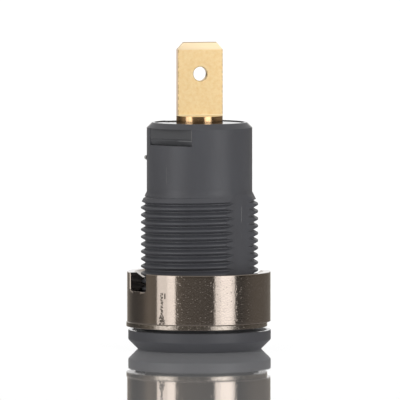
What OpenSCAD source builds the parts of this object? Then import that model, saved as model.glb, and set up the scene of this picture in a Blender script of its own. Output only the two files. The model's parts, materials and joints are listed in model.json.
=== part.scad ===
// Insulated 4 mm panel socket. The origin is the centre of the front face, and +Z points to the rear tab.

/* [Flange] */
// Radial width of the flange beyond the thread
flange_w = 1.3; // [0.9:0.05:3]
// Thickness of the flange from its front face to its seat on the panel
flange_t = 2; // [1.6:0.1:4]
// Height of the bevel round the front edge
flange_bevel = 1; // [0.3:0.05:1.4]

/* [Thread] */
// Outer diameter of the thread
thread_d = 12; // [10.8:0.1:16]
// Distance from one thread ridge to the next
thread_pitch = 0.75; // [0.6:0.05:1]
// Radial depth of the thread
thread_depth = 0.44; // [0.3:0.01:0.5]
// Axial width of each ridge at its crest
crest_w = 0.09; // [0.04:0.01:0.12]
// Angle between each flank of the thread and the plane of its ridge
flank_angle = 30; // [25:1:35]
// Width of the plain neck between the flange and the first ridge
neck_w = 0.3; // [0.2:0.05:0.6]
// Height of the rear end of the thread above the front face
thread_end = 16.15; // [12:0.05:18]
// Length of the cone that leads a nut onto the thread
lead_in = 1.2; // [0.6:0.1:2]
// Distance of the flats that key the barrel in a panel outside the plain barrel
flat_step = 0.05; // [0.02:0.01:0.3]

/* [Rear barrel] */
// Radial step from the thread's crest down to the plain barrel behind it
barrel_step = 0.6; // [0.5:0.05:0.8]
// Chamfer round the rear rim
rim_chamfer = 0.55; // [0.2:0.05:0.6]

/* [Plug well] */
// Wall of the plain barrel round the well that takes the insulating sleeve of a plug
well_wall = 1.25; // [1.1:0.05:1.5]
// Depth of the well
well_depth = 19.5; // [17.5:0.1:26]
// Chamfer at the mouth of the well
mouth_chamfer = 0.35; // [0.1:0.05:0.6]

/* [Rear insert] */
// Wall of the plain barrel round the rear chamber that the insert plugs
chamber_wall = 0.8; // [0.7:0.05:1]
// Thickness of the insert behind the contact's collar
insert_t = 2.67; // [2.3:0.01:5]
// Depth of the insert's rear face below the rim
insert_recess = 0.08; // [0.04:0.01:0.3]
// Width of the pad on the rear face, which is level with the rim
pad_w = 2.9; // [1:0.1:3.2]
// Radial length of the pad
pad_len = 0.95; // [0.4:0.05:1.2]
// Direction of the pad about the axis
pad_turn = 163; // [0:1:180]
// Width of each side window as a share of the barrel's diameter
window_share = 0.5; // [0.35:0.01:0.55]
// Height of each side window
window_h = 1.7; // [1.4:0.05:1.8]
// Radial step from the insert's rim in to the skirt under its lugs
skirt_step = 0.2; // [0.1:0.05:0.6]
// Depth of each lug's flat face below the edges of its window
lug_recess = 0.06; // [0.02:0.01:0.3]
// Height of the sloping lead-in edge at the foot of each lug
lug_ramp = 0.35; // [0.1:0.05:0.6]
// Depth that this edge slopes inwards
lug_draft = 0.1; // [0.05:0.05:0.4]
// Open height under each lug in its window
lug_gap = 0.05; // [0.02:0.01:0.3]

/* [Contact] */
// Bore that takes the plug pin
bore_d = 4; // [3.9:0.05:4.2]
// Outer diameter of the contact tube
tube_d = 5.8; // [5.2:0.1:6.2]
// Distance from the front face back to the end of the tube
tube_recess = 5; // [3:0.1:8]
// Solid length between the end of the bore and the collar
bore_stop = 1.3; // [1.25:0.05:2.5]
// Included angle of the drilled end of the bore
drill_angle = 118; // [116:1:140]
// Countersink at the mouth of the bore
bore_lead = 0.4; // [0.1:0.05:0.5]
// Chamfer round the outside of the tube's end
tube_chamfer = 0.2; // [0.05:0.05:0.4]
// Thickness of the collar that seats on the housing's shoulder
collar_t = 1; // [0.6:0.1:1.1]
// Diameter of the rear shank
shank_d = 4.75; // [4.2:0.05:5]
// Height of the shank's shoulder above the rim of the housing
shank_out = 0.66; // [0.2:0.01:2]

/* [Tab] */
// Length of the flat tab beyond the shoulder
tab_len = 7.53; // [6:0.01:10]
// Thickness of the tab
tab_t = 0.8; // [0.5:0.05:1]
// Width of the slanting cut at each top corner
tab_corner_w = 0.67; // [0.2:0.01:1.2]
// Height of that cut
tab_corner_h = 0.78; // [0.2:0.01:1.2]
// Length of the bevel at the tip
tip_len = 0.78; // [0.3:0.02:1.2]
// Thickness left at the tip
tip_t = 0.46; // [0.2:0.02:0.6]
// Diameter of the hole through the tab
tab_hole_d = 1.45; // [0.8:0.05:1.8]
// Distance from the tip to the centre of the hole
tab_hole_drop = 3.25; // [2.4:0.05:4.2]
// Turn of the tab about the axis
tab_turn = 50.5; // [-90:0.5:90]

/* [Ring nut] */
// Radial width of the nut beyond the thread
nut_w = 1.35; // [0.9:0.05:3]
// Height of the nut
nut_h = 5.1; // [3:0.1:7]
// Width of the driving slots
slot_w = 3.2; // [1.5:0.1:4]
// Depth of the driving slots
slot_depth = 1.85; // [0.8:0.05:2.4]
// Radius in the bottom corners of the slots
slot_corner = 0.3; // [0.05:0.05:0.7]
// Turn of the slots about the axis
slot_turn = -22; // [-90:0.5:90]
// Break on the outer edges of the nut
nut_break = 0.1; // [0.05:0.01:0.3]
// Radial width of the countersink at each face of the nut
nut_sink = 0.55; // [0.1:0.01:0.7]
// Included angle of that countersink
sink_angle = 120; // [90:5:130]

/* [Washer] */
// Distance of the washer's edge inside the nut's when both are centred
washer_inset = 0.13; // [0:0.01:0.3]
// Thickness of the washer
washer_t = 0.5; // [0.3:0.05:1]
// Distance that the loose washer sits off the axis
washer_shift = 0.28; // [0:0.01:0.5]
// Direction of that shift about the axis
washer_turn = -51.5; // [-180:0.5:180]
// Open distance between the flange and the washer
panel_gap = 0.35; // [0.1:0.01:6]

/* [Fits] */
// Radial clearance of the nut over the thread
nut_clearance = 0.05; // [0.02:0.01:0.1]
// Radial clearance of the washer over the thread where it sits closest
washer_clearance = 0.06; // [0.02:0.01:0.3]
// Radial clearance of the collar and the insert in the chamber
chamber_clearance = 0.05; // [0.02:0.01:0.1]
// Clearance of the lugs in their windows
lug_clearance = 0.03; // [0.02:0.01:0.1]
// Radial clearance of the insert round the shank
shank_clearance = 0.05; // [0.02:0.01:0.1]

/* [Hidden] */
$fn = 96;
// Overshoot of cutting shapes past the faces that they open
past = 1;
plastic_grey = [0.31, 0.32, 0.33];
insert_grey = [0.29, 0.30, 0.31];
gold = [0.93, 0.76, 0.47];
nickel = [0.58, 0.54, 0.50];
washer_metal = [0.52, 0.48, 0.45];

// Radii of the housing, all from the thread's
thread_r = thread_d / 2;
flange_r = thread_r + flange_w;
root_r = thread_r - thread_depth;
barrel_r = thread_r - barrel_step;
flat_r = barrel_r + flat_step;
well_r = barrel_r - well_wall;
chamber_r = barrel_r - chamber_wall;
window_w = 2 * barrel_r * window_share;

// Thread form
flank_w = thread_depth * tan(flank_angle);
ridge_w = crest_w + 2 * flank_w;
thread_start = flange_t + neck_w;
ridge_count = floor((thread_end - thread_start) / thread_pitch);
lead_slope = (thread_r - barrel_r) / lead_in;

// Heights of what is stacked behind the well
collar_rear = well_depth + collar_t;
insert_rear = collar_rear + insert_t;
body_len = insert_rear + insert_recess;
window_top = body_len - rim_chamfer;
lug_top = window_top - lug_clearance;
lug_end = window_top - window_h + lug_gap;
lug_foot = lug_end + lug_ramp;

// Rear insert: the flat face of each lug stays inside the corners that its window cuts in the barrel
insert_r = chamber_r - chamber_clearance;
skirt_r = insert_r - skirt_step;
window_corner_y = sqrt(pow(barrel_r, 2) - pow(window_w / 2, 2));
lug_reach = window_corner_y - lug_recess;
lug_w = window_w - 2 * lug_clearance;

// Contact
bore_r = bore_d / 2;
tube_r = tube_d / 2;
collar_r = chamber_r - chamber_clearance;
shank_r = shank_d / 2;
bore_end = well_depth - bore_stop;
drill_tip = bore_end + bore_r / tan(drill_angle / 2);
shoulder_z = body_len + shank_out;
tip_z = shoulder_z + tab_len;
tip_bevel = (tab_t - tip_t) / 2;

// Washer and nut, stacked on the flange
washer_z = flange_t + panel_gap;
nut_z = washer_z + washer_t;
nut_r = thread_r + nut_w;
nut_bore_r = thread_r + nut_clearance;
nut_sink_r = nut_bore_r + nut_sink;
sink_depth = nut_sink / tan(sink_angle / 2);
washer_r = nut_r - washer_inset;
washer_bore_r = thread_r + washer_shift + washer_clearance;

// Radius that the lead-in cone allows at height z
function lead_r(z) = barrel_r + (thread_end - z) * lead_slope;

// One point of the thread's outline, kept under the lead-in cone
function thread_point(r, z) = [max(barrel_r, min(r, lead_r(z))), z];

// Outline of one ridge whose foot starts at height z
function ridge(z) = [
    thread_point(root_r, z),
    thread_point(thread_r, z + flank_w),
    thread_point(thread_r, z + flank_w + crest_w),
    thread_point(root_r, z + ridge_w)
];

// Outside of the housing as one turned outline, from the front face to the rear rim
module housing_outline() {
    ridges = [for (i = [0 : ridge_count - 1]) each ridge(thread_start + i * thread_pitch)];
    polygon(concat(
        [
            [0, 0],
            [flange_r - flange_bevel, 0],
            [flange_r, flange_bevel],
            [flange_r, flange_t],
            [root_r, flange_t]
        ],
        ridges,
        [
            [barrel_r, thread_end],
            [barrel_r, body_len - rim_chamfer],
            [barrel_r - rim_chamfer, body_len],
            [0, body_len]
        ]
    ));
}

// Inside of the housing: the plug well, its chamfered mouth and the wider rear chamber
module housing_hollow() {
    mouth_r = well_r + mouth_chamfer;
    polygon([
        [0, -past],
        [mouth_r + past, -past],
        [well_r, mouth_chamfer],
        [well_r, well_depth],
        [chamber_r, well_depth],
        [chamber_r, body_len + past],
        [0, body_len + past]
    ]);
}

// The two flats along the thread, as the material that they take away
module barrel_flats() {
    flat_len = thread_end - flange_t;
    for (side = [0, 180])
        rotate([0, 0, side])
            translate([flat_r, -thread_r, flange_t])
                cube([thread_r, thread_d, flat_len]);
}

module housing() {
    color(plastic_grey)
        difference() {
            rotate_extrude() housing_outline();
            rotate_extrude() housing_hollow();
            barrel_flats();
            translate([-window_w / 2, -thread_d, window_top - window_h])
                cube([window_w, 2 * thread_d, window_h]);
        }
}

// Side outline of one snap lug, from the axis outwards, with its sloping lead-in edge
module lug_outline() {
    polygon([
        [0, lug_end],
        [lug_reach - lug_draft, lug_end],
        [lug_reach, lug_foot],
        [lug_reach, lug_top],
        [0, lug_top]
    ]);
}

// Low pad on the insert's rear face, inside the insert's own round
module insert_pad() {
    intersection() {
        translate([0, 0, lug_foot])
            cylinder(r = insert_r, h = body_len - lug_foot);
        rotate([0, 0, pad_turn])
            translate([insert_r - pad_len, -pad_w / 2, lug_foot])
                cube([pad_len + past, pad_w, body_len - lug_foot]);
    }
}

module rear_insert() {
    color(insert_grey)
        difference() {
            union() {
                insert_pad();
                translate([0, 0, collar_rear])
                    cylinder(r = skirt_r, h = insert_rear - collar_rear);
                translate([0, 0, lug_foot])
                    cylinder(r = insert_r, h = insert_rear - lug_foot);
                for (side = [0, 180])
                    rotate([90, 0, 90 + side])
                        translate([0, 0, -lug_w / 2])
                            linear_extrude(lug_w) lug_outline();
            }
            translate([0, 0, collar_rear - past])
                cylinder(r = shank_r + shank_clearance, h = body_len);
        }
}

// Tube, collar and shank as one turned outline with the blind bore
module contact_outline() {
    polygon([
        [bore_r + bore_lead, tube_recess],
        [tube_r - tube_chamfer, tube_recess],
        [tube_r, tube_recess + tube_chamfer],
        [tube_r, well_depth],
        [collar_r, well_depth],
        [collar_r, collar_rear],
        [shank_r, collar_rear],
        [shank_r, shoulder_z],
        [0, shoulder_z],
        [0, drill_tip],
        [bore_r, bore_end],
        [bore_r, tube_recess + bore_lead]
    ]);
}

// Face of the tab with its cut corners, from inside the shank to the tip
module tab_face() {
    polygon([
        [-shank_r, collar_rear],
        [shank_r, collar_rear],
        [shank_r, tip_z - tab_corner_h],
        [shank_r - tab_corner_w, tip_z],
        [tab_corner_w - shank_r, tip_z],
        [-shank_r, tip_z - tab_corner_h]
    ]);
}

// Section of the tab with its bevelled tip
module tab_section() {
    half_t = tab_t / 2;
    polygon([
        [-half_t, collar_rear],
        [half_t, collar_rear],
        [half_t, tip_z - tip_len],
        [half_t - tip_bevel, tip_z],
        [tip_bevel - half_t, tip_z],
        [-half_t, tip_z - tip_len]
    ]);
}

// The tab as the flats leave it: what is left of the round shank between the two milled faces
module tab() {
    intersection() {
        translate([0, 0, collar_rear])
            cylinder(r = shank_r, h = tip_z - collar_rear);
        rotate([90, 0, 0])
            translate([0, 0, -shank_d])
                linear_extrude(2 * shank_d) tab_face();
        rotate([90, 0, 90])
            translate([0, 0, -shank_d])
                linear_extrude(2 * shank_d) tab_section();
    }
}

module contact() {
    color(gold)
        rotate([0, 0, tab_turn])
            difference() {
                union() {
                    rotate_extrude() contact_outline();
                    tab();
                }
                translate([0, 0, tip_z - tab_hole_drop])
                    rotate([90, 0, 0])
                        cylinder(d = tab_hole_d, h = shank_d, center = true);
            }
}

module washer() {
    color(washer_metal)
        rotate([0, 0, washer_turn])
            translate([0, -washer_shift, washer_z])
                difference() {
                    cylinder(r = washer_r, h = washer_t);
                    translate([0, 0, -past])
                        cylinder(r = washer_bore_r, h = washer_t + 2 * past);
                }
}

// Section of the nut: broken outer edges and a countersink at each end of the bore
module nut_outline() {
    polygon([
        [nut_sink_r, 0],
        [nut_r - nut_break, 0],
        [nut_r, nut_break],
        [nut_r, nut_h - nut_break],
        [nut_r - nut_break, nut_h],
        [nut_sink_r, nut_h],
        [nut_bore_r, nut_h - sink_depth],
        [nut_bore_r, sink_depth]
    ]);
}

// Section across a driving slot, with its round bottom corners
module slot_outline() {
    foot = nut_h - slot_depth;
    corner_x = slot_w / 2 - slot_corner;
    translate([-slot_w / 2, foot + slot_corner])
        square([slot_w, slot_depth + past]);
    translate([-corner_x, foot])
        square([2 * corner_x, slot_depth + past]);
    for (side = [-1, 1])
        translate([side * corner_x, foot + slot_corner])
            circle(r = slot_corner);
}

module ring_nut() {
    color(nickel)
        translate([0, 0, nut_z])
            difference() {
                rotate_extrude() nut_outline();
                rotate([90, 0, slot_turn])
                    translate([0, 0, -2 * nut_r])
                        linear_extrude(4 * nut_r) slot_outline();
            }
}

housing();
rear_insert();
contact();
washer();
ring_nut();
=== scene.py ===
"""Grey panel socket with a threaded barrel, a slotted ring nut, a washer and a gold-plated rear tab."""
import json
import math
import random

import bmesh
import bpy
from mathutils import Matrix, Vector


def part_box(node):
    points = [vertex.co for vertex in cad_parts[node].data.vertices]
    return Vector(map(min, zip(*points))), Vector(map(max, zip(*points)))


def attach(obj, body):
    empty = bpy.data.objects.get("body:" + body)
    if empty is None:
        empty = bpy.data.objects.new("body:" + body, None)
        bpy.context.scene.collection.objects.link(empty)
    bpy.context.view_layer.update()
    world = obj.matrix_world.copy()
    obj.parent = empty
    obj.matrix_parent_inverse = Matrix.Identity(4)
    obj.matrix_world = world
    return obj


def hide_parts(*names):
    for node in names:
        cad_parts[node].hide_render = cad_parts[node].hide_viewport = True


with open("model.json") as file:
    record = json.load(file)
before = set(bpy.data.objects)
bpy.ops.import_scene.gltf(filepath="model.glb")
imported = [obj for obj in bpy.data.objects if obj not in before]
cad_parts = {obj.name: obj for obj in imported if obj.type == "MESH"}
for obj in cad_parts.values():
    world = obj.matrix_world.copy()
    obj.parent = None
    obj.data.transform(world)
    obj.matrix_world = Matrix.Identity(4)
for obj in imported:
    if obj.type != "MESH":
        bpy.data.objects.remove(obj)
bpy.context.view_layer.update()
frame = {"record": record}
scene = bpy.context.scene
scene.view_settings.view_transform = "Standard"

# Shapes are built in millimetres, and each finished piece is scaled to the frame's metres
MM_PER_M = 1000.0
PIECE_SCALE = Matrix.Scale(1 / MM_PER_M, 4)


def box_mm(node):
    """Lowest and highest corner of a node in millimetres."""
    low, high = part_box(node)
    return low * MM_PER_M, high * MM_PER_M


mounts = {mount["name"]: mount for mount in frame["record"]["mounts"]}

# Housing
HOUSING_HIGH = box_mm("housing")[1]
FLANGE_R = HOUSING_HIGH.x
BODY_LEN = HOUSING_HIGH.z
FLANGE_T = mounts["panel_seat"]["pos_m"][2] * MM_PER_M
FLANGE_BEVEL = 1.0
BARREL_R = 5.4
RIM_CHAMFER = 0.55
WELL_R = 4.15
WELL_DEPTH = 19.5
MOUTH_CHAMFER = 0.35
FLAT_X = 5.45
WINDOW_W = 5.4
WINDOW_H = 1.7
WINDOW_TOP = BODY_LEN - RIM_CHAMFER
WINDOW_EDGE = 0.05
# Rings that keep the faces of the barrel's wall short, and their distance from the rim
BARREL_RINGS = 16
BARREL_MARGIN = 0.3
# Ridge of flash: width, depth of its foot, lengths of its sloping ends, and turn off the lathe's points
SEAM_W = 0.15
SEAM_SINK = 0.1
SEAM_LOW_END = 0.6
SEAM_HIGH_END = 0.3
SEAM_TURN = 0.006
# Crumb of flash
CRUMB_Z = 19.62
CRUMB_SIZE = (0.2, 0.16, 0.25)
CRUMB_SEED = 5
CRUMB_SPREAD = (0.7, 1.15)
CRUMB_STAND = 0.05
CRUMB_TURN = math.radians(1.5)

# Thread: a right-hand helix with 60 degree flanks
PITCH = 0.75
THREAD_R = 6.0
ROOT_R = 5.56
CREST_W = 0.175
CREST_ROUND = 0.03
# Share of the round that comes off the crest's flat
CREST_SHARE = 0.6
# Half of the least gap between turns at the foot, and how deep the foot sinks into the wall
TURN_GAP = 0.015
RIDGE_SINK = 0.06
FLANK = math.tan(math.radians(30))
THREAD_END = 16.15
LEAD_IN = 1.2
# Distance that keeps the ridge's end inside the cone, and a ring that keeps faces near the cone's end small
LEAD_SPARE = 0.004
LEAD_RING = 0.2
# Height over the flange where the ridge starts, and the turns over which ridge and groove run out
RIDGE_START = 0.45
RIDGE_TAPER = 0.3
GROOVE_TAPER = 0.1
GROOVE_PAST = 1.2
TAPER_LEAST = 0.02
# Height of a crest above the front face at the +X side, less whole turns
CREST_PHASE = 0.53

# Rear insert
INSERT_LOW, INSERT_HIGH = box_mm("rear_insert")
INSERT_R = INSERT_HIGH.x
CHAMBER_R = INSERT_R + 0.05
SKIRT_R = INSERT_R - 0.2
SHANK_CLEARANCE = 0.05
# Lugs: play in the window, gap under them, depth below the barrel's skin, and start inside the plug
LUG_CLEARANCE = 0.008
LUG_GAP = 0.05
LUG_SUNK = 0.03
LUG_ROOT = 0.3
LUG_BREAK = 0.015
LUG_BREAK_ANGLE = 20
LUG_TOP = WINDOW_TOP - LUG_CLEARANCE
LUG_END = WINDOW_TOP - WINDOW_H + LUG_GAP
LUG_W = WINDOW_W - 2 * LUG_CLEARANCE
LUG_RAMP = 0.45
LUG_FOOT = LUG_END + LUG_RAMP
LUG_DRAFT = 0.14
LUG_GROOVE = 0.05
LUG_REACH = math.sqrt(BARREL_R ** 2 - (WINDOW_W / 2) ** 2) - LUG_SUNK
INSERT_REAR = BODY_LEN - 0.08
PAD_W = 2.9
PAD_LEN = 0.95
PAD_TURN = math.radians(163)

# Contact
CONTACT_LOW, CONTACT_HIGH = box_mm("contact")
TIP_Z = CONTACT_HIGH.z
BORE_R = mounts["contact_bore"]["dims"]["r_mm"]
BORE_LIP = 0.4
TUBE_R = 2.9
SHANK_R = 2.375
SHOULDER_Z = TIP_Z - mounts["rear_tab"]["dims"]["length_mm"]
BORE_END = 18.2
DRILL_TIP = BORE_END + BORE_R / math.tan(math.radians(59))
TAB_T = mounts["tab_hole"]["dims"]["length_mm"]
TAB_NORMAL = Vector(mounts["tab_hole"]["axis"])
TAB_TURN = math.atan2(TAB_NORMAL.x, -TAB_NORMAL.y)
TAB_CORNER_W = 0.67
TAB_CORNER_H = 0.78
TAB_EDGE = math.sqrt(SHANK_R ** 2 - (TAB_T / 2) ** 2)
# Fillet at the tab's foot, its depth in the shoulder and its spare width, and the tab's start in the bar
TAB_FILLET = 0.15
FILLET_SINK = 0.01
FILLET_SPARE = 0.05
TAB_ROOT = 0.5
TAB_BREAK = 0.035
TAB_BREAK_ANGLE = 30
TIP_LEN = 0.78
TIP_T = 0.46
TAB_HOLE_R = mounts["tab_hole"]["dims"]["r_mm"]
TAB_HOLE_Z = mounts["tab_hole"]["pos_m"][2] * MM_PER_M

# Ring nut
NUT_LOW, NUT_HIGH = box_mm("ring_nut")
NUT_R = NUT_HIGH.x
NUT_BREAK = 0.07
NUT_MINOR_R = 5.68
NUT_SINK_R = 6.6
NUT_SINK_DEPTH = 0.7
# Rings that keep the faces of the nut's side short, and their distance from its ends
NUT_RINGS = 13
NUT_MARGIN = 0.4
SLOT_W = 3.2
SLOT_DEPTH = 1.85
SLOT_CORNER = 0.3
SLOT_BRIM = 0.06
# Break between a slot's end and the nut's side: width, depth, and how far its cutter goes on inside
SLOT_EDGE = 0.105
SLOT_SINK = 0.083
SLOT_PAST = 1.2
SLOT_TURN = math.radians(-22)
THREAD_PLAY = 0.1
# Distance that the nut hangs to the picture's left in its play
NUT_HANG = 0.07

# Washer
WASHER_LOW, WASHER_HIGH = box_mm("washer")
WASHER_MID = (WASHER_LOW + WASHER_HIGH) / 2
WASHER_R = (WASHER_HIGH.x - WASHER_LOW.x) / 2
WASHER_BORE_R = 6.34

# Camera, from the photograph's viewing angle
VIEW_AZIMUTH = math.radians(38.5)
CAMERA_AWAY = 1.0
CAMERA_HEIGHT = 0.0745
AIM_HEIGHT = 0.01525
AIM_RIGHT = 0.00005
FRAME_WIDTH = 0.04094
SENSOR_MM = 36.0
CLIP_START = 0.01
CLIP_END = 20.0

# Flash lines on a flat, and one on the barrel, as (lowest, highest, rise)
FLAT_SEAMS = (
    (10.9, 12.3, 0.018),
    (12.7, 15.0, 0.045),
)
BARREL_SEAM = (17.2, 18.8, 0.02)

# Worn line on the nut's side
SCUFF_AZIMUTH = VIEW_AZIMUTH - math.radians(31.4)
SCUFF_LOW = 2.9
SCUFF_HIGH = 6.1

# What polished surfaces mirror, as (azimuth from the camera's direction in degrees, level)
STUDIO = (
    (-180, 1.08),
    (-177, 1.07),
    (-172, 0.52),
    (-165, 0.27),
    (-150, 0.17),
    (-134, 0.06),
    (-120, 0.04),
    (-104, 0.08),
    (-88, 0.26),
    (-72, 0.21),
    (-38, 0.25),
    (-33, 0.20),
    (-26, 0.13),
    (30, 0.075),
    (72, 0.045),
    (90, 0.12),
    (104, 0.16),
    (150, 0.18),
    (166, 0.24),
    (173, 0.60),
    (177, 1.07),
    (180, 1.08),
)
STUDIO_TINT = (1.0, 0.89, 0.74)
WHITE = (1.0, 1.0, 1.0, 1.0)
CEILING = (0.72, 0.70, 0.67, 1.0)
FILL = (0.665, 0.665, 0.68, 1.0)
FILL_ABOVE = (0.38, 0.38, 0.385, 1.0)
BACKDROP_EDGE = math.radians(140)
FLOOR_HALF = 4.0
LAMP_AWAY = 0.55
LAMP_HEIGHT = 0.36
# Lamps as (name, azimuth from the camera's direction, span in degrees, level)
SOFTBOXES = (
    ("left_outer", -61.0, 19.0, 1.75),
    ("left_inner", -44.75, 13.5, 2.25),
    ("right_core", 43.0, 34.0, 2.05),
    ("right_peak", 44.5, 20.0, 0.6),
)

# Plastics, as linear colours
GREY_DARK = (0.066, 0.067, 0.0755, 1.0)
GREY_LIGHT = (0.075, 0.077, 0.087, 1.0)
# Colour of the crumb of flash, and of the painted highlight on the seams
FLASH_AND_SEAM_HIGHLIGHT = (0.42, 0.41, 0.38, 1.0)
INSERT_DARK = (0.064, 0.065, 0.070, 1.0)
INSERT_LIGHT = (0.072, 0.074, 0.079, 1.0)
# Painted highlight on the edges of the insert's lugs
LUG_EDGE_HIGHLIGHT = (0.16, 0.16, 0.165, 1.0)

# Resolution of round shapes
LATHE_STEPS = 192
HELIX_STEPS = 96
HOLE_STEPS = 64
# Share of a step that keeps the helix's points off the planes of the turned shapes' points
HELIX_SHIFT = 0.3
# Points closer than this are one point after a boolean
WELD = 0.0005
# Tries at a boolean, the move between them, and the share by which its volume may seem off
BOOLEAN_TRIES = 5
HAIR = 0.0013
VOLUME_SLACK = 0.001
FILLET_STEPS = 4
# Edges sharper than this, in degrees, stay sharp in shading
SMOOTH_ANGLE = 28
# How far cutters reach past what they cut
PAST = 1.0


def toward(azimuth):
    """Horizontal direction at an azimuth, where 0 points along -Y and 90 degrees along +X."""
    return Vector((math.sin(azimuth), -math.cos(azimuth), 0.0))


def new_object(name, bm):
    """Mesh object made from a bmesh, with its faces turned outwards."""
    bmesh.ops.recalc_face_normals(bm, faces=bm.faces)
    if bm.calc_volume(signed=True) < 0:
        bmesh.ops.reverse_faces(bm, faces=bm.faces)
    mesh = bpy.data.meshes.new(name)
    bm.to_mesh(mesh)
    bm.free()
    obj = bpy.data.objects.new(name, mesh)
    scene.collection.objects.link(obj)
    return obj


def rounded(corners):
    """Outline with rounded corners. Each corner is (radius, height, fillet)."""
    outline = []
    for index, (r, z, fillet) in enumerate(corners):
        here = Vector((r, z))
        if not fillet:
            outline.append(here)
            continue
        before = (Vector(corners[index - 1][:2]) - here).normalized()
        after = (Vector(corners[(index + 1) % len(corners)][:2]) - here).normalized()
        half = before.angle(after) / 2
        centre = here + (before + after).normalized() * fillet / math.sin(half)
        first = here + before * fillet / math.tan(half) - centre
        last = here + after * fillet / math.tan(half) - centre
        sweep = first.angle_signed(last)
        for step in range(FILLET_STEPS + 1):
            turn = Matrix.Rotation(-sweep * step / FILLET_STEPS, 2)
            outline.append(centre + turn @ first)
    return outline


def wall(r, low, high, count):
    """Plain points along a straight wall, for rings that keep its faces short."""
    return [(r, low + (high - low) * step / (count - 1), 0.0) for step in range(count)]


def lathe(name, outline, steps=LATHE_STEPS):
    """Solid turned about Z from a closed outline of (radius, height) points."""
    bm = bmesh.new()
    angles = [2 * math.pi * step / steps for step in range(steps)]
    rings = []
    for r, z in outline:
        if r == 0:
            rings.append([bm.verts.new((0, 0, z))])
        else:
            rings.append([bm.verts.new((r * math.cos(a), r * math.sin(a), z)) for a in angles])
    for lower, upper in zip(rings, rings[1:] + rings[:1]):
        for step in range(steps):
            after = step + 1
            corners = (
                lower[step % len(lower)],
                lower[after % len(lower)],
                upper[after % len(upper)],
                upper[step % len(upper)],
            )
            face = list(dict.fromkeys(corners))
            if len(face) > 2:
                bm.faces.new(face)
    return new_object(name, bm)


def prism(name, outline, depth, turn):
    """Outline of (across, height) points, extruded both ways along Y and turned about Z."""
    bm = bmesh.new()
    front = [bm.verts.new((x, -depth / 2, z)) for x, z in outline]
    back = [bm.verts.new((x, depth / 2, z)) for x, z in outline]
    bm.faces.new(front)
    bm.faces.new(back)
    for index in range(len(outline)):
        bm.faces.new((front[index - 1], front[index], back[index], back[index - 1]))
    obj = new_object(name, bm)
    obj.data.transform(Matrix.Rotation(turn, 4, "Z"))
    return obj


def block(name, low, high, turn=0.0):
    """Rectangular cutter between two corners, turned about Z."""
    outline = [(low[0], low[2]), (high[0], low[2]), (high[0], high[2]), (low[0], high[2])]
    obj = prism(name, outline, high[1] - low[1], 0.0)
    obj.data.transform(Matrix.Translation((0, (low[1] + high[1]) / 2, 0)))
    obj.data.transform(Matrix.Rotation(turn, 4, "Z"))
    return obj


def helix(name, section, low, high, taper_turns):
    """Ridge swept along the thread's helix between two heights, with ends that sink over taper_turns."""
    first = math.ceil((low - CREST_PHASE) / PITCH * HELIX_STEPS)
    last = math.floor((high - CREST_PHASE) / PITCH * HELIX_STEPS)
    foot_r = min(r for r, rise in section)
    bm = bmesh.new()
    rows = []
    for step in range(first, last + 1):
        turns = (step + HELIX_SHIFT) / HELIX_STEPS
        angle = 2 * math.pi * turns
        from_end = min(step - first, last - step) / (taper_turns * HELIX_STEPS)
        height = min(1.0, TAPER_LEAST + from_end)
        z = CREST_PHASE + PITCH * turns
        row = []
        for r, rise in section:
            reach = foot_r + (r - foot_r) * height
            row.append(bm.verts.new((reach * math.cos(angle), reach * math.sin(angle), z + rise)))
        rows.append(row)
    for here, beyond in zip(rows, rows[1:]):
        for index in range(len(section)):
            bm.faces.new((here[index - 1], here[index], beyond[index], beyond[index - 1]))
    bm.faces.new(rows[0])
    bm.faces.new(rows[-1])
    bmesh.ops.triangulate(bm, faces=bm.faces)
    return new_object(name, bm)


def ridge_section(crest_r, foot_r):
    """Section of one thread ridge between two radii. Neighbouring turns stay apart at the foot."""
    crest_half = CREST_W / 2
    edge = CREST_ROUND * FLANK
    foot_half = min(crest_half + (crest_r - foot_r) * FLANK, PITCH / 2 - TURN_GAP)
    half = [
        (foot_r, foot_half),
        (crest_r - CREST_ROUND, crest_half + edge),
        (crest_r, crest_half - CREST_ROUND * CREST_SHARE),
    ]
    return half + [(r, -rise) for r, rise in reversed(half)]


def bake(obj):
    """Replaces an object's mesh by what its modifiers make of it."""
    depsgraph = bpy.context.evaluated_depsgraph_get()
    made = bpy.data.meshes.new_from_object(obj.evaluated_get(depsgraph))
    obj.modifiers.clear()
    old = obj.data
    obj.data = made
    bpy.data.meshes.remove(old)


def mend(obj):
    """Welds points that a boolean left closer than any detail, and closes the cracks between them."""
    bm = bmesh.new()
    bm.from_mesh(obj.data)
    bmesh.ops.remove_doubles(bm, verts=bm.verts, dist=WELD)
    bmesh.ops.dissolve_degenerate(bm, edges=bm.edges, dist=WELD)
    bmesh.ops.holes_fill(bm, edges=[edge for edge in bm.edges if edge.is_boundary], sides=0)
    bm.to_mesh(obj.data)
    bm.free()


def volume(obj):
    """Volume that a closed mesh holds."""
    bm = bmesh.new()
    bm.from_mesh(obj.data)
    held = bm.calc_volume(signed=True)
    bm.free()
    return held


def combine(obj, other, operation):
    """Boolean of one solid with another, which is used up.

    Where the volume that comes out can't be right, it is tried again with the other solid moved by a
    hair and with crossings inside a solid allowed. If no try is right, the first solid stays as it was.
    """
    own = volume(obj)
    tool = volume(other)
    slack = VOLUME_SLACK * own
    least = {"UNION": max(own, tool), "DIFFERENCE": own - tool, "INTERSECT": slack}[operation] - slack
    most = {"UNION": own + tool, "DIFFERENCE": own, "INTERSECT": min(own, tool)}[operation] + slack
    whole = obj.data.copy()
    for attempt in range(BOOLEAN_TRIES):
        step = obj.modifiers.new("combine", "BOOLEAN")
        step.operation = operation
        step.solver = "EXACT"
        step.object = other
        step.use_self = attempt > 0
        bake(obj)
        mend(obj)
        if least < volume(obj) < most:
            break
        obj.data = whole.copy()
        other.data.transform(Matrix.Translation((HAIR, HAIR, HAIR)))
    bpy.data.meshes.remove(whole)
    bpy.data.objects.remove(other)


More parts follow.
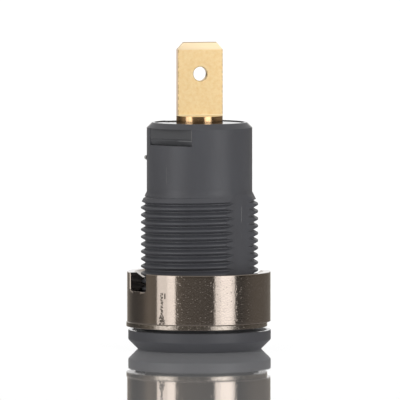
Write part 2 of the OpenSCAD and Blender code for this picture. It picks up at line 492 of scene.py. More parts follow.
def break_edges(obj, width, angle):
    """Small round on every edge sharper than the angle in degrees."""
    step = obj.modifiers.new("break_edges", "BEVEL")
    step.width = width
    step.segments = 2
    step.limit_method = "ANGLE"
    step.angle_limit = math.radians(angle)
    step.use_clamp_overlap = True
    bake(obj)


def round_window_edges(obj):
    """Small round on the outer edges of the side windows, other than at the rim."""
    low = WINDOW_TOP - WINDOW_H - 0.01
    high = WINDOW_TOP - 0.04
    skin = BARREL_R - 0.02
    sharp = math.radians(30)
    bm = bmesh.new()
    bm.from_mesh(obj.data)
    edges = []
    for edge in bm.edges:
        outside = all(math.hypot(v.co.x, v.co.y) > skin for v in edge.verts)
        in_reach = all(low < v.co.z < high for v in edge.verts)
        if outside and in_reach and edge.calc_face_angle(0.0) > sharp:
            edges.append(edge)
    bmesh.ops.bevel(bm, geom=edges, offset=WINDOW_EDGE, segments=2, profile=0.5, affect="EDGES")
    bm.to_mesh(obj.data)
    bm.free()


def even_normals(obj):
    """Shading normals that keep large faces flat next to their small rounds."""
    step = obj.modifiers.new("even_normals", "WEIGHTED_NORMAL")
    step.keep_sharp = True
    step.thresh = 0.0
    bake(obj)


def complete(obj, name, node, body, material):
    """Smooths a piece, scales it to metres, gives it its name, body and finish, and hides the CAD node that
    it replaces.
    """
    obj.data.shade_smooth()
    obj.data.set_sharp_from_angle(angle=math.radians(SMOOTH_ANGLE))
    even_normals(obj)
    obj.data.transform(PIECE_SCALE)
    obj.name = name
    obj.data.name = name
    obj.data.materials.clear()
    obj.data.materials.append(material)
    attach(obj, body)
    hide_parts(node)
    return obj


# Materials

def node_tree(name):
    """New node material with its tree and its Principled shader."""
    material = bpy.data.materials.new(name)
    material.use_nodes = True
    tree = material.node_tree
    return material, tree, tree.nodes["Principled BSDF"]


def add(tree, kind, values=None, **settings):
    """Node with its settings, and input values or links given by socket name or number."""
    node = tree.nodes.new(kind)
    for name, value in settings.items():
        setattr(node, name, value)
    for key, value in (values or {}).items():
        if isinstance(value, bpy.types.NodeSocket):
            tree.links.new(value, node.inputs[key])
        else:
            node.inputs[key].default_value = value
    return node


def millimetres(tree):
    """Object coordinates in millimetres."""
    place = add(tree, "ShaderNodeTexCoord")
    return add(
        tree, "ShaderNodeVectorMath", {0: place.outputs["Object"], "Scale": MM_PER_M}, operation="SCALE"
    ).outputs[0]


def stretched(tree, place, stretch):
    """Coordinates stretched along the axes."""
    return add(tree, "ShaderNodeVectorMath", {0: place, 1: stretch}, operation="MULTIPLY").outputs[0]


def cloud(tree, place, scale, detail=2.0, roughness=0.5):
    """Noise from 0 to 1."""
    values = {"Vector": place, "Scale": scale, "Detail": detail, "Roughness": roughness}
    return add(tree, "ShaderNodeTexNoise", values).outputs["Fac"]


def remap(tree, value, low, high, to_low, to_high):
    """Value taken linearly from one range to another and held inside it."""
    values = {"Value": value, "From Min": low, "From Max": high, "To Min": to_low, "To Max": to_high}
    return add(tree, "ShaderNodeMapRange", values).outputs["Result"]


def mixed(tree, amount, first, second):
    """Colour mix."""
    node = add(tree, "ShaderNodeMix", {"Factor": amount}, data_type="RGBA")
    for socket, value in (("A_Color", first), ("B_Color", second)):
        target = next(s for s in node.inputs if s.identifier == socket)
        if isinstance(value, bpy.types.NodeSocket):
            tree.links.new(value, target)
        else:
            target.default_value = value
    return next(s for s in node.outputs if s.identifier == "Result_Color")


def bumped(tree, shader, height, distance, strength=1.0):
    """Bump from a height, with its full height in millimetres."""
    values = {"Height": height, "Distance": distance / MM_PER_M, "Strength": strength}
    tree.links.new(add(tree, "ShaderNodeBump", values).outputs["Normal"], shader.inputs["Normal"])


def maths(tree, operation, first, second):
    """Result of one operation on two values."""
    return add(tree, "ShaderNodeMath", {0: first, 1: second}, operation=operation).outputs[0]


def along(tree, place, direction):
    """Distance along a direction."""
    values = {0: place, 1: direction}
    return add(tree, "ShaderNodeVectorMath", values, operation="DOT_PRODUCT").outputs["Value"]


def between(tree, value, low, high, soft):
    """1 inside a range and 0 outside, with soft ends."""
    rise = remap(tree, value, low - soft, low, 0.0, 1.0)
    fall = remap(tree, value, high, high + soft, 1.0, 0.0)
    return maths(tree, "MULTIPLY", rise, fall)


def pitted(tree, place, scale, share):
    """Round pits from 0 to 1 in some of the cells of a random pattern."""
    cells = add(tree, "ShaderNodeTexVoronoi", {"Vector": place, "Scale": scale}).outputs
    chance = add(tree, "ShaderNodeSeparateColor", {0: cells["Color"]}).outputs[0]
    picked = maths(tree, "LESS_THAN", chance, share)
    return maths(tree, "MULTIPLY", remap(tree, cells["Distance"], 0.08, 0.38, 1.0, 0.0), picked)


def from_axis(tree, place):
    """Distance from the socket's axis."""
    level = stretched(tree, place, (1.0, 1.0, 0.0))
    return add(tree, "ShaderNodeVectorMath", {0: level}, operation="LENGTH").outputs["Value"]


def flash_and_seam_highlight_patch(tree, place):
    """Crumb of flash on the barrel, and, weaker, a painted highlight along the seams on a flat and the
    barrel's parting line.
    """
    x, y, z = add(tree, "ShaderNodeSeparateXYZ", {0: place}).outputs
    proud = remap(tree, from_axis(tree, place), BARREL_R + 0.03, BARREL_R + 0.10, 0.0, 1.0)
    flake = maths(tree, "MULTIPLY", proud, between(tree, z, CRUMB_Z - 0.5, CRUMB_Z + 0.5, 0.01))
    # Painted highlight on the seams' crests and on the barrel's parting line
    crest = remap(tree, x, FLAT_X + 0.002, FLAT_X + 0.03, 0.0, 0.14)
    crest = maths(tree, "MULTIPLY", crest, maths(tree, "LESS_THAN", x, FLAT_X + 0.1))
    line = maths(tree, "MULTIPLY", crest, between(tree, y, -SEAM_W, SEAM_W, 0.01))
    upright = between(tree, z, *BARREL_SEAM[:2], 0.1)
    parting = maths(tree, "MULTIPLY", between(tree, x, -0.05, 0.02, 0.02), upright)
    parting = maths(tree, "MULTIPLY", parting, remap(tree, y, -0.1, 0.1, 0.08, 0.0))
    return maths(tree, "MAXIMUM", flake, maths(tree, "MAXIMUM", line, parting))


def lug_edge_highlight_patch(tree, place):
    """Painted highlight along the lugs' lower edges, strongest towards their right ends, and up their right
    edges.
    """
    x, y, z = add(tree, "ShaderNodeSeparateXYZ", {0: place}).outputs
    foot = between(tree, z, LUG_FOOT - 0.02, LUG_FOOT + 0.05, 0.02)
    foot = maths(tree, "MULTIPLY", foot, remap(tree, x, 0.8, 1.1, 0.05, 1.0))
    foot = maths(tree, "MULTIPLY", foot, remap(tree, x, -1.7, -1.4, 0.0, 1.0))
    side = remap(tree, x, LUG_W / 2 - 0.09, LUG_W / 2 - 0.06, 0.0, 0.8)
    side = maths(tree, "MULTIPLY", side, remap(tree, z, LUG_FOOT - 0.03, LUG_FOOT, 0.0, 1.0))
    proud = remap(tree, y, 0.06 - LUG_REACH, 0.12 - LUG_REACH, 1.0, 0.0)
    return maths(tree, "MULTIPLY", maths(tree, "MAXIMUM", foot, side), proud)


def moulded_plastic(name, dark, light, patch, patch_colour):
    """Finely eroded plastic with slight flow marks above the flange and painted shade on the flange, whose
    rim and flange gleam at grazing sight.
    """
    material, tree, shader = node_tree(name)
    place = millimetres(tree)
    flow = cloud(tree, stretched(tree, place, (1.0, 1.0, 0.35)), 0.55, 3.0)
    grain = cloud(tree, place, 16.0, 3.0, 0.6)
    height = add(tree, "ShaderNodeSeparateXYZ", {0: place}).outputs["Z"]
    # The flange keeps the dark grey, as painted shade that makes it darker than the barrel
    barrel = remap(tree, height, FLANGE_T, FLANGE_T + 0.1, 0.0, 1.0)
    amount = maths(tree, "MULTIPLY", remap(tree, flow, 0.3, 0.7, 0.0, 1.0), barrel)
    # The patch colour is painted highlight on the insert's lugs; on the housing it is the crumb of flash
    # and painted highlight on the seams
    colour = mixed(tree, patch(tree, place), mixed(tree, amount, dark, light), patch_colour)
    tree.links.new(colour, shader.inputs["Base Color"])
    eroded = remap(tree, grain, 0.3, 0.7, 0.40, 0.52)
    facing = add(tree, "ShaderNodeLayerWeight", {"Blend": 0.5}).outputs["Facing"]
    normal = add(tree, "ShaderNodeNewGeometry").outputs["True Normal"]
    rearward = add(tree, "ShaderNodeSeparateXYZ", {0: normal}).outputs["Z"]
    rim = remap(tree, height, BODY_LEN - 1.0, BODY_LEN - 0.3, 0.0, 0.92)
    brim = remap(tree, from_axis(tree, place), FLANGE_R - 0.45, FLANGE_R - 0.35, 0.0, 0.94)
    seat = maths(tree, "MULTIPLY", brim, remap(tree, rearward, 0.80, 0.95, 0.0, 1.0))
    polish = maths(tree, "MAXIMUM", rim, seat)
    gleam = maths(tree, "MULTIPLY", remap(tree, facing, 0.80, 0.92, 0.0, 1.0), polish)
    matt = maths(tree, "SUBTRACT", 1.0, gleam)
    tree.links.new(maths(tree, "MULTIPLY", eroded, matt), shader.inputs["Roughness"])
    shader.inputs["Sheen Weight"].default_value = 0.06
    shader.inputs["Sheen Roughness"].default_value = 0.35
    bumped(tree, shader, maths(tree, "MULTIPLY", grain, matt), 0.006)
    return material


def scuffed(tree, place):
    """Rub mark that wanders down the nut's side and spreads at its end, with a dash beside it."""
    across = along(tree, place, toward(SCUFF_AZIMUTH + math.pi / 2))
    outward = along(tree, place, toward(SCUFF_AZIMUTH))
    height = add(tree, "ShaderNodeSeparateXYZ", {0: place}).outputs["Z"]
    drift = cloud(tree, stretched(tree, place, (0.0, 0.0, 1.0)), 3.2, 3.0, 0.7)
    offset = maths(tree, "SUBTRACT", across, remap(tree, drift, 0.3, 0.7, -0.15, 0.15))
    half = remap(tree, height, SCUFF_LOW + 0.5, SCUFF_LOW + 1.1, 0.28, 0.10)
    line = between(tree, maths(tree, "DIVIDE", offset, half), -1.0, 1.0, 0.4)
    grit = remap(tree, cloud(tree, place, 7.0, 2.0, 0.6), 0.44, 0.52, 0.0, 1.0)
    dash = maths(
        tree,
        "MULTIPLY",
        between(tree, across, 0.33, 0.41, 0.03),
        between(tree, height, SCUFF_HIGH - 0.55, SCUFF_HIGH - 0.05, 0.05),
    )
    mark = maths(tree, "MAXIMUM", maths(tree, "MULTIPLY", line, grit), dash)
    reach = maths(tree, "MULTIPLY", mark, between(tree, height, SCUFF_LOW, SCUFF_HIGH, 0.04))
    return maths(tree, "MULTIPLY", reach, remap(tree, outward, 0.0, 1.0, 0.0, 1.0))


def tumbled_nickel(name):
    """Plate with the small pits of tumbling, fewer of them on one side, and one scuffed line."""
    material, tree, shader = node_tree(name)
    place = millimetres(tree)
    tint = cloud(tree, place, 0.8, 2.0)
    pits = maths(tree, "MULTIPLY", pitted(tree, place, 5.0, 0.3), 0.55)
    orange_peel = maths(tree, "MULTIPLY", cloud(tree, place, 6.5, 2.0), 0.4)
    aside = along(tree, place, toward(VIEW_AZIMUTH + math.pi / 2))
    normal = add(tree, "ShaderNodeNewGeometry").outputs["True Normal"]
    rearward = add(tree, "ShaderNodeSeparateXYZ", {0: normal}).outputs["Z"]
    faced = remap(tree, rearward, 0.5, 0.6, 1.0, 0.0)
    tumbling = maths(tree, "MULTIPLY", remap(tree, aside, -3.2, -2.2, 0.15, 1.0), faced)
    grain = maths(tree, "MULTIPLY", maths(tree, "SUBTRACT", orange_peel, pits), tumbling)
    scuff = scuffed(tree, place)
    warm = (0.345, 0.297, 0.260, 1.0)
    pale = (0.375, 0.326, 0.289, 1.0)
    worn = (0.10, 0.085, 0.072, 1.0)
    plate = mixed(tree, tint, warm, pale)
    tree.links.new(mixed(tree, scuff, plate, worn), shader.inputs["Base Color"])
    shader.inputs["Metallic"].default_value = 1.0
    finish = remap(tree, faced, 0.0, 1.0, 0.03, 0.10)
    rough = maths(tree, "ADD", finish, maths(tree, "MULTIPLY", scuff, 0.3))
    tree.links.new(rough, shader.inputs["Roughness"])
    bumped(tree, shader, maths(tree, "SUBTRACT", grain, scuff), 0.012)
    return material


def sheared_nickel(name):
    """Plated sheet metal, drawn into fine upright marks where the rim was sheared."""
    material, tree, shader = node_tree(name)
    place = millimetres(tree)
    marks = cloud(tree, stretched(tree, place, (9.0, 9.0, 0.9)), 1.0, 3.0, 0.6)
    chips = pitted(tree, place, 7.0, 0.4)
    warm = (0.27, 0.236, 0.203, 1.0)
    pale = (0.40, 0.356, 0.317, 1.0)
    tree.links.new(mixed(tree, marks, warm, pale), shader.inputs["Base Color"])
    shader.inputs["Metallic"].default_value = 1.0
    tree.links.new(remap(tree, marks, 0.3, 0.7, 0.09, 0.17), shader.inputs["Roughness"])
    bumped(tree, shader, maths(tree, "SUBTRACT", marks, chips), 0.013)
    return material


def satin_gold(name):
    """Gold plate over milled and turned metal, thin along the tab's edges and round its hole, with painted
    shade on the shank, a darker band along the tip's top edge and a painted highlight at the tab's foot.
    """
    material, tree, shader = node_tree(name)
    place = millimetres(tree)
    tint = cloud(tree, place, 2.6, 4.0, 0.6)
    grain = cloud(tree, place, 22.0, 3.0, 0.6)
    deep = (0.93, 0.66, 0.325, 1.0)
    pale = (1.0, 0.77, 0.435, 1.0)
    coined = (0.95, 0.765, 0.51, 1.0)
    # The shank's gold, painted darker than the tab's as painted shade
    turned = (0.64, 0.42, 0.23, 1.0)
    # Colour of the darker band along the tip's top edge
    sheared = (0.42, 0.32, 0.21, 1.0)
    milled_side = (0.95, 0.74, 0.54, 1.0)
    # Painted highlight along the tab's foot, where it meets the shoulder
    foot_highlight = (1.0, 0.88, 0.62, 1.0)
    thin = (0.30, 0.19, 0.09, 1.0)
    height = add(tree, "ShaderNodeSeparateXYZ", {0: place}).outputs["Z"]
    across = along(tree, place, Vector((-TAB_NORMAL.y, TAB_NORMAL.x, 0.0)))
    outward = maths(tree, "ABSOLUTE", across, 0.0)
    from_hole = maths(
        tree,
        "SQRT",
        maths(
            tree,
            "ADD",
            maths(tree, "MULTIPLY", across, across),
            maths(tree, "POWER", maths(tree, "SUBTRACT", height, TAB_HOLE_Z), 2.0),
        ),
        0.0,
    )
    chance = cloud(tree, place, 4.0, 3.0, 0.6)
    tip = remap(tree, height, TIP_Z - TIP_LEN - 0.03, TIP_Z - TIP_LEN + 0.05, 0.0, 1.0)
    milled = remap(tree, height, SHOULDER_Z - 0.02, SHOULDER_Z, 0.0, 1.0)
    edge = remap(tree, height, TIP_Z - 0.09, TIP_Z - 0.04, 0.0, 1.0)
    flank = maths(tree, "MULTIPLY", milled, remap(tree, outward, TAB_EDGE - 0.01, TAB_EDGE, 0.0, 1.0))
    brink = maths(
        tree,
        "MULTIPLY",
        between(tree, outward, TAB_EDGE - 0.07, TAB_EDGE - 0.03, 0.02),
        remap(tree, chance, 0.42, 0.58, 0.0, 0.8),
    )
    burr = maths(
        tree,
        "MULTIPLY",
        between(tree, from_hole, TAB_HOLE_R, TAB_HOLE_R + 0.06, 0.02),
        remap(tree, chance, 0.38, 0.55, 0.1, 0.6),
    )
    worn = maths(tree, "MULTIPLY", milled, maths(tree, "MAXIMUM", brink, burr))
    # The turned shank takes the darker gold, as painted shade
    plate = mixed(tree, milled, turned, mixed(tree, remap(tree, tint, 0.3, 0.7, 0.0, 1.0), deep, pale))
    # Darker band along the tip's top edge
    plate = mixed(tree, edge, mixed(tree, tip, plate, coined), sheared)
    plate = mixed(tree, worn, mixed(tree, flank, plate, milled_side), thin)
    # Painted highlight in a band just above the shoulder
    plate = mixed(tree, between(tree, height, SHOULDER_Z, SHOULDER_Z + 0.09, 0.03), plate, foot_highlight)
    tree.links.new(plate, shader.inputs["Base Color"])
    tree.links.new(remap(tree, flank, 0.0, 1.0, 1.0, 0.2), shader.inputs["Metallic"])
    finish = remap(tree, milled, 0.0, 1.0, 0.15, 0.34)
    rough = maths(tree, "ADD", finish, maths(tree, "MULTIPLY", flank, 0.2))
    tree.links.new(rough, shader.inputs["Roughness"])
    bumped(tree, shader, grain, 0.0025)
    return material


# Pieces

def lead_outline(spare):
    """Outline under the cone that leads a nut onto the thread, a little inside the housing's cone."""
    slope = (THREAD_R - BARREL_R) / LEAD_IN
    reach = THREAD_R + PAST
    top = THREAD_END - spare / slope
    return [
        (0, -PAST),
        (reach, -PAST),
        (reach, top - (reach - BARREL_R) / slope),
        (BARREL_R, top),
        (BARREL_R - LEAD_RING, top),
        (0, top),
    ]


def seam(radius, azimuth, low, high, rise):
    """Low ridge of flash where the mould parts, along Z, in the form of a hipped roof."""
    half = SEAM_W / 2 * (rise + SEAM_SINK) / rise
    bm = bmesh.new()
    base = []
    for y, z in ((-half, low), (half, low), (half, high), (-half, high)):
        base.append(bm.verts.new((radius - SEAM_SINK, y, z)))
    ridge = [bm.verts.new((radius + rise, 0.0, z)) for z in (low + SEAM_LOW_END, high - SEAM_HIGH_END)]
    bm.faces.new(base)
    bm.faces.new((base[0], base[1], ridge[0]))
    bm.faces.new((base[2], base[3], ridge[1]))
    bm.faces.new((base[1], base[2], ridge[1], ridge[0]))
    bm.faces.new((base[3], base[0], ridge[0], ridge[1]))
    obj = new_object("seam", bm)
    obj.data.transform(Matrix.Rotation(azimuth - math.pi / 2, 4, "Z"))
    return obj


def crumb():
    """Crumb of flash that clings to the barrel at the picture's left edge."""
    chance = random.Random(CRUMB_SEED)
    bm = bmesh.new()
    bmesh.ops.create_icosphere(bm, subdivisions=2, radius=1.0)
    for vert in bm.verts:
        vert.co *= chance.uniform(*CRUMB_SPREAD)
    obj = new_object("crumb", bm)
    azimuth = VIEW_AZIMUTH - math.pi / 2 + CRUMB_TURN
    stretch = Matrix.Diagonal((*CRUMB_SIZE, 1.0))
    turn = Matrix.Rotation(azimuth - math.pi / 2, 4, "Z")
    place = toward(azimuth) * (BARREL_R + CRUMB_STAND) + Vector((0, 0, CRUMB_Z))
    obj.data.transform(Matrix.Translation(place) @ turn @ stretch)
    return obj


def build_housing():
    """Moulded sleeve with its flange, thread, two flats, two side windows and flash."""
    slope = (THREAD_R - BARREL_R) / LEAD_IN
    body = lathe("housing_body", rounded([
        (WELL_R + MOUTH_CHAMFER, 0.0, 0.06),
        (FLANGE_R - FLANGE_BEVEL, 0.0, 0.12),
        (FLANGE_R, FLANGE_BEVEL, 0.25),
        (FLANGE_R, FLANGE_T, 0.06),
        (ROOT_R, FLANGE_T, 0.05),
        (ROOT_R, THREAD_END - (ROOT_R - BARREL_R) / slope, 0.0),
        *wall(BARREL_R, THREAD_END, WINDOW_TOP - BARREL_MARGIN, BARREL_RINGS),
        (BARREL_R, WINDOW_TOP, 0.06),
        (BARREL_R - RIM_CHAMFER, BODY_LEN, 0.05),
        (CHAMBER_R, BODY_LEN, 0.02),
        (CHAMBER_R, WELL_DEPTH, 0.0),
        (WELL_R, WELL_DEPTH, 0.0),
        (WELL_R, MOUTH_CHAMFER, 0.05),
    ]))
    combine(body, seam(BARREL_R, SEAM_TURN, *BARREL_SEAM), "UNION")
    window = block(
        "window",
        (-WINDOW_W / 2, -BARREL_R - PAST, WINDOW_TOP - WINDOW_H),
        (WINDOW_W / 2, BARREL_R + PAST, WINDOW_TOP),
    )
    combine(body, window, "DIFFERENCE")
    round_window_edges(body)
    section = ridge_section(THREAD_R, ROOT_R - RIDGE_SINK)
    ridge = helix("ridge", section, FLANGE_T + RIDGE_START, THREAD_END, RIDGE_TAPER)
    combine(ridge, lathe("lead", lead_outline(LEAD_SPARE)), "INTERSECT")
    combine(body, ridge, "UNION")
    for side in (-1, 1):
        low_x, high_x = sorted((side * FLAT_X, side * (THREAD_R + PAST)))
        flat = block("flat", (low_x, -THREAD_R, FLANGE_T), (high_x, THREAD_R, THREAD_END))
        if side > 0:
            for line in FLAT_SEAMS:
                combine(flat, seam(FLAT_X, math.pi / 2, *line), "DIFFERENCE")
        combine(body, flat, "DIFFERENCE")
    combine(body, crumb(), "UNION")
    plastic = moulded_plastic("grey_plastic", GREY_DARK, GREY_LIGHT, flash_and_seam_highlight_patch, FLASH_AND_SEAM_HIGHLIGHT)
    return complete(body, "housing_shell", "housing", "socket", plastic)


def build_insert():
    """Plug that closes the rear, with a raised pad and the two lugs that snap into the windows."""
    hole_r = SHANK_R + SHANK_CLEARANCE
    plug = lathe("insert_plug", rounded([
        (hole_r, INSERT_LOW.z, 0.0),
        (SKIRT_R, INSERT_LOW.z, 0.0),
        (SKIRT_R, LUG_FOOT, 0.0),
        (INSERT_R, LUG_FOOT, 0.0),
        (INSERT_R, INSERT_REAR, 0.03),
        (hole_r, INSERT_REAR, 0.03),
    ]))
    pad = block(
        "pad",
        (INSERT_R - PAD_LEN, -PAD_W / 2, LUG_FOOT),
        (INSERT_R + PAST, PAD_W / 2, BODY_LEN),
        PAD_TURN,
    )
    core_low = LUG_FOOT - PAST
    core_high = BODY_LEN + PAST
    core = [(0, core_low), (INSERT_R, core_low), (INSERT_R, core_high), (0, core_high)]
    combine(pad, lathe("core", core), "INTERSECT")
    combine(plug, pad, "UNION")
    root_r = SHANK_R + LUG_ROOT
    for side in (0, math.pi):
        outline = [
            (root_r, LUG_END),
            (LUG_REACH - LUG_DRAFT, LUG_END),
            (LUG_REACH, LUG_FOOT),
            (LUG_REACH, LUG_FOOT + LUG_GROOVE),
            (LUG_REACH - LUG_GROOVE, LUG_FOOT + 2 * LUG_GROOVE),
            (LUG_REACH, LUG_FOOT + 4 * LUG_GROOVE),
            (LUG_REACH, LUG_TOP),
            (root_r, LUG_TOP),
        ]
        lug = prism("lug", outline, LUG_W, math.pi / 2 + side)
        break_edges(lug, LUG_BREAK, LUG_BREAK_ANGLE)
        combine(plug, lug, "UNION")
    plastic = moulded_plastic("insert_plastic", INSERT_DARK, INSERT_LIGHT, lug_edge_highlight_patch, LUG_EDGE_HIGHLIGHT)
    return complete(plug, "insert_plug", "rear_insert", "socket", plastic)


def build_contact():
    """Turned bar with its bored tube, collar and shank, and the flat tab milled out of its rear end."""
    collar_r = CONTACT_HIGH.x
    collar_rear = INSERT_LOW.z
    turned = lathe("contact_turned", rounded([
        (BORE_R + BORE_LIP, CONTACT_LOW.z, 0.04),
        (TUBE_R, CONTACT_LOW.z, 0.18),
        (TUBE_R, WELL_DEPTH, 0.0),
        (collar_r, WELL_DEPTH, 0.05),
        (collar_r, collar_rear, 0.05),
        (SHANK_R, collar_rear, 0.0),
        (SHANK_R, SHOULDER_Z, 0.04),
        (0, SHOULDER_Z, 0.0),
        (0, DRILL_TIP, 0.0),
        (BORE_R, BORE_END, 0.0),
        (BORE_R, CONTACT_LOW.z + BORE_LIP, 0.0),
    ]))
    tab_foot = SHOULDER_Z - TAB_ROOT
    tab = lathe("tab", [(0, tab_foot), (SHANK_R, tab_foot), (SHANK_R, TIP_Z), (0, TIP_Z)])
    face = [
        (-SHANK_R - TAB_CORNER_W, tab_foot - PAST),
        (SHANK_R + TAB_CORNER_W, tab_foot - PAST),
        (SHANK_R + TAB_CORNER_W, TIP_Z - 2 * TAB_CORNER_H),
        (SHANK_R - 2 * TAB_CORNER_W, TIP_Z + TAB_CORNER_H),
        (2 * TAB_CORNER_W - SHANK_R, TIP_Z + TAB_CORNER_H),
        (-SHANK_R - TAB_CORNER_W, TIP_Z - 2 * TAB_CORNER_H),
    ]
    half_t = TAB_T / 2
    slope = (TAB_T - TIP_T) / 2 / TIP_LEN
    fillet_z = SHOULDER_Z - FILLET_SINK
    wide = half_t + TAB_FILLET + FILLET_SPARE
    section = rounded([
        (-wide, tab_foot - PAST, 0.0),
        (wide, tab_foot - PAST, 0.0),
        (wide, fillet_z, 0.0),
        (half_t, fillet_z, TAB_FILLET),
        (half_t, TIP_Z - TIP_LEN, 0.0),
        (TIP_T / 2 - slope * PAST, TIP_Z + PAST, 0.0),
        (slope * PAST - TIP_T / 2, TIP_Z + PAST, 0.0),
        (-half_t, TIP_Z - TIP_LEN, 0.0),
        (-half_t, fillet_z, TAB_FILLET),
        (-wide, fillet_z, 0.0),
    ])
    combine(tab, prism("face", face, 4 * SHANK_R, 0.0), "INTERSECT")
    combine(tab, prism("section", section, 4 * SHANK_R, math.pi / 2), "INTERSECT")
    drill = [(0, -SHANK_R), (TAB_HOLE_R, -SHANK_R), (TAB_HOLE_R, SHANK_R), (0, SHANK_R)]
    hole = lathe("hole", drill, HOLE_STEPS)
    hole.data.transform(Matrix.Translation((0, 0, TAB_HOLE_Z)) @ Matrix.Rotation(math.pi / 2, 4, "X"))
    combine(tab, hole, "DIFFERENCE")
    break_edges(tab, TAB_BREAK, TAB_BREAK_ANGLE)
    tab.data.transform(Matrix.Rotation(TAB_TURN, 4, "Z"))
    combine(turned, tab, "UNION")
    gold = satin_gold("gold_contact")
    return complete(turned, "contact_gold", "contact", "socket", gold)


def slot_outline(grow):
    """Section of a driving slot, grown on its three sides, with a small break at the nut's rear face."""
    half = SLOT_W / 2 + grow
    foot = NUT_HIGH.z - SLOT_DEPTH - grow
    corner = SLOT_CORNER + grow
    brim = half + SLOT_BRIM
    return rounded([
        (-half, foot, corner),
        (half, foot, corner),
        (half, NUT_HIGH.z - SLOT_BRIM, 0.0),
        (brim, NUT_HIGH.z, 0.0),
        (brim, NUT_HIGH.z + PAST, 0.0),
        (-brim, NUT_HIGH.z + PAST, 0.0),
        (-brim, NUT_HIGH.z, 0.0),
        (-half, NUT_HIGH.z - SLOT_BRIM, 0.0),
    ])


def slot_flare(turn):
    """Cutter that breaks the edge between one end of the slot and the nut's side."""
    bm = bmesh.new()
    rings = []
    for sink in (-SLOT_SINK, SLOT_PAST * SLOT_SINK):
        grow = SLOT_EDGE * (1 - sink / SLOT_SINK)
        ring = []
        for x, z in slot_outline(grow):
            ring.append(bm.verts.new((x, -math.sqrt(NUT_R ** 2 - x ** 2) + sink, z)))
        rings.append(ring)
    outer, inner = rings
    for index in range(len(outer)):
        bm.faces.new((outer[index - 1], outer[index], inner[index], inner[index - 1]))
    bm.faces.new(outer)
    bm.faces.new(inner)
    bmesh.ops.triangulate(bm, faces=bm.faces)
    obj = new_object("flare", bm)
    obj.data.transform(Matrix.Rotation(turn, 4, "Z"))
    return obj


def build_nut():
    """Ring nut with its driving slots and inner thread, hung to one side in the thread's play."""
    ring = lathe("nut_ring", rounded([
        (NUT_SINK_R, NUT_LOW.z, 0.03),
        (NUT_R, NUT_LOW.z, 0.05),
        *wall(NUT_R, NUT_LOW.z + NUT_MARGIN, NUT_HIGH.z - NUT_MARGIN, NUT_RINGS),
        (NUT_R, NUT_HIGH.z, NUT_BREAK),
        (NUT_SINK_R, NUT_HIGH.z, 0.03),
        (NUT_MINOR_R, NUT_HIGH.z - NUT_SINK_DEPTH, 0.0),
        (NUT_MINOR_R, NUT_LOW.z + NUT_SINK_DEPTH, 0.0),
    ]))
    combine(ring, prism("slot", slot_outline(0.0), 4 * NUT_R, SLOT_TURN), "DIFFERENCE")
    for side in (0, math.pi):
        combine(ring, slot_flare(SLOT_TURN + side), "DIFFERENCE")
    section = ridge_section(THREAD_R + THREAD_PLAY, NUT_MINOR_R - RIDGE_SINK)
    groove = helix("groove", section, NUT_LOW.z - GROOVE_PAST, NUT_HIGH.z + GROOVE_PAST, GROOVE_TAPER)
    combine(ring, groove, "DIFFERENCE")
    ring.data.transform(Matrix.Translation(toward(VIEW_AZIMUTH - math.pi / 2) * NUT_HANG))
    nickel = tumbled_nickel("nickel_nut")
    return complete(ring, "nut_ring", "ring_nut", "nut", nickel)


def build_washer():
    """Thin flat washer, where the frame has it in its play."""
    ring = lathe("washer_ring", rounded([
        (WASHER_BORE_R, WASHER_LOW.z, 0.02),
        (WASHER_R, WASHER_LOW.z, 0.03),
        (WASHER_R, WASHER_HIGH.z, 0.10),
        (WASHER_BORE_R, WASHER_HIGH.z, 0.05),
    ]))
    ring.data.transform(Matrix.Translation((WASHER_MID.x, WASHER_MID.y, 0)))
    metal = sheared_nickel("washer_metal")
    return complete(ring, "washer_ring", "washer", "washer", metal)


# Stage, light and camera

def build_floor():
    """Gloss white floor that mirrors more the flatter it is seen."""
    bm = bmesh.new()
    corners = ((-1, -1), (1, -1), (1, 1), (-1, 1))
    bm.faces.new([bm.verts.new((x * FLOOR_HALF, y * FLOOR_HALF, 0.0)) for x, y in corners])
    floor = new_object("floor", bm)
    material = bpy.data.materials.new("gloss_floor")
    material.use_nodes = True
    tree = material.node_tree
    tree.nodes.clear()
    grazing = add(tree, "ShaderNodeLayerWeight", {"Blend": 0.5}).outputs["Facing"]
    amount = remap(tree, grazing, 0.70, 0.96, 0.0, 1.0)
    paint = add(tree, "ShaderNodeBsdfDiffuse", {"Color": (0.93, 0.93, 0.93, 1.0)})
    glow = add(tree, "ShaderNodeEmission", {"Color": WHITE, "Strength": 0.07})
    matt = add(tree, "ShaderNodeAddShader", {0: paint.outputs[0], 1: glow.outputs[0]})
    mirror = add(tree, "ShaderNodeBsdfGlossy", {"Color": WHITE, "Roughness": 0.03})
    surface = add(tree, "ShaderNodeMixShader", {0: amount, 1: matt.outputs[0], 2: mirror.outputs[0]})
    output = add(tree, "ShaderNodeOutputMaterial")
    tree.links.new(surface.outputs[0], output.inputs["Surface"])
    floor.data.materials.append(material)


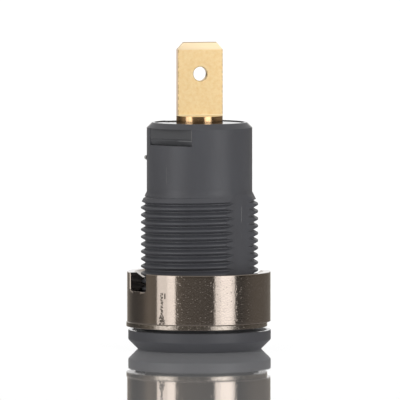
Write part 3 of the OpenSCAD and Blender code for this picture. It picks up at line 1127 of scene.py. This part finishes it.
def build_world():
    """White background, a dim studio in front of a white wall in reflections, and soft fill light."""
    world = bpy.data.worlds.new("studio")
    scene.world = world
    world.use_nodes = True
    tree = world.node_tree
    tree.nodes.clear()
    path = add(tree, "ShaderNodeLightPath").outputs
    ray = add(tree, "ShaderNodeTexCoord").outputs["Generated"]
    sideways = along(tree, ray, toward(VIEW_AZIMUTH + math.pi / 2))
    frontal = along(tree, ray, toward(VIEW_AZIMUTH))
    azimuth = maths(tree, "ARCTAN2", sideways, frontal)
    panorama = add(tree, "ShaderNodeValToRGB", {0: remap(tree, azimuth, -math.pi, math.pi, 0.0, 1.0)})
    stops = panorama.color_ramp.elements
    for degrees, _ in STUDIO[1:-1]:
        stops.new(degrees / 360 + 0.5)
    for stop, (degrees, level) in zip(stops, STUDIO):
        shade = [level if level > 1 else level * tint for tint in STUDIO_TINT]
        stop.color = (*shade, 1.0)
    rise = add(tree, "ShaderNodeSeparateXYZ", {0: ray}).outputs["Z"]
    aside = maths(tree, "ABSOLUTE", azimuth, 0.0)
    behind = remap(tree, aside, BACKDROP_EDGE, BACKDROP_EDGE + 0.3, 0.0, 1.0)
    backdrop = maths(tree, "MULTIPLY", behind, remap(tree, rise, 0.09, 0.14, 0.0, 1.0))
    around = mixed(tree, backdrop, panorama.outputs["Color"], WHITE)
    mirrored = mixed(tree, remap(tree, rise, 0.25, 0.55, 0.0, 1.0), around, CEILING)
    fill = mixed(tree, remap(tree, rise, 0.15, 0.75, 0.0, 1.0), FILL, FILL_ABOVE)
    lit = mixed(tree, path["Is Glossy Ray"], fill, mirrored)
    seen = maths(tree, "MAXIMUM", path["Is Camera Ray"], path["Is Transmission Ray"])
    glow = add(tree, "ShaderNodeBackground", {"Color": mixed(tree, seen, lit, WHITE)})
    output = add(tree, "ShaderNodeOutputWorld")
    tree.links.new(glow.outputs[0], output.inputs["Surface"])


def softbox(name, azimuth, span, level):
    """Upright lamp on the floor, round the socket from the camera's direction."""
    width = 2 * LAMP_AWAY * math.tan(math.radians(span) / 2)
    lamp = bpy.data.lights.new(name, "AREA")
    lamp.shape = "RECTANGLE"
    lamp.size = width
    lamp.size_y = LAMP_HEIGHT
    lamp.energy = level * math.pi * width * LAMP_HEIGHT
    obj = bpy.data.objects.new(name, lamp)
    direction = toward(VIEW_AZIMUTH + math.radians(azimuth))
    obj.location = direction * LAMP_AWAY + Vector((0, 0, LAMP_HEIGHT / 2))
    obj.rotation_euler = direction.to_track_quat("Z", "Y").to_euler()
    obj.visible_camera = False
    scene.collection.objects.link(obj)


def build_camera():
    """Long lens, a little above the socket."""
    direction = toward(VIEW_AZIMUTH)
    right = toward(VIEW_AZIMUTH + math.pi / 2)
    place = direction * CAMERA_AWAY + Vector((0, 0, CAMERA_HEIGHT))
    aim = right * AIM_RIGHT + Vector((0, 0, AIM_HEIGHT))
    camera = bpy.data.cameras.new("camera")
    camera.sensor_width = SENSOR_MM
    camera.lens = SENSOR_MM * (place - aim).length / FRAME_WIDTH
    camera.clip_start = CLIP_START
    camera.clip_end = CLIP_END
    obj = bpy.data.objects.new("camera", camera)
    obj.location = place + right * AIM_RIGHT
    obj.rotation_euler = (place - aim + right * AIM_RIGHT).to_track_quat("Z", "Y").to_euler()
    scene.collection.objects.link(obj)
    scene.camera = obj


build_camera()
build_housing()
build_insert()
build_contact()
build_nut()
build_washer()
build_floor()
build_world()
for lamp in SOFTBOXES:
    softbox(*lamp)
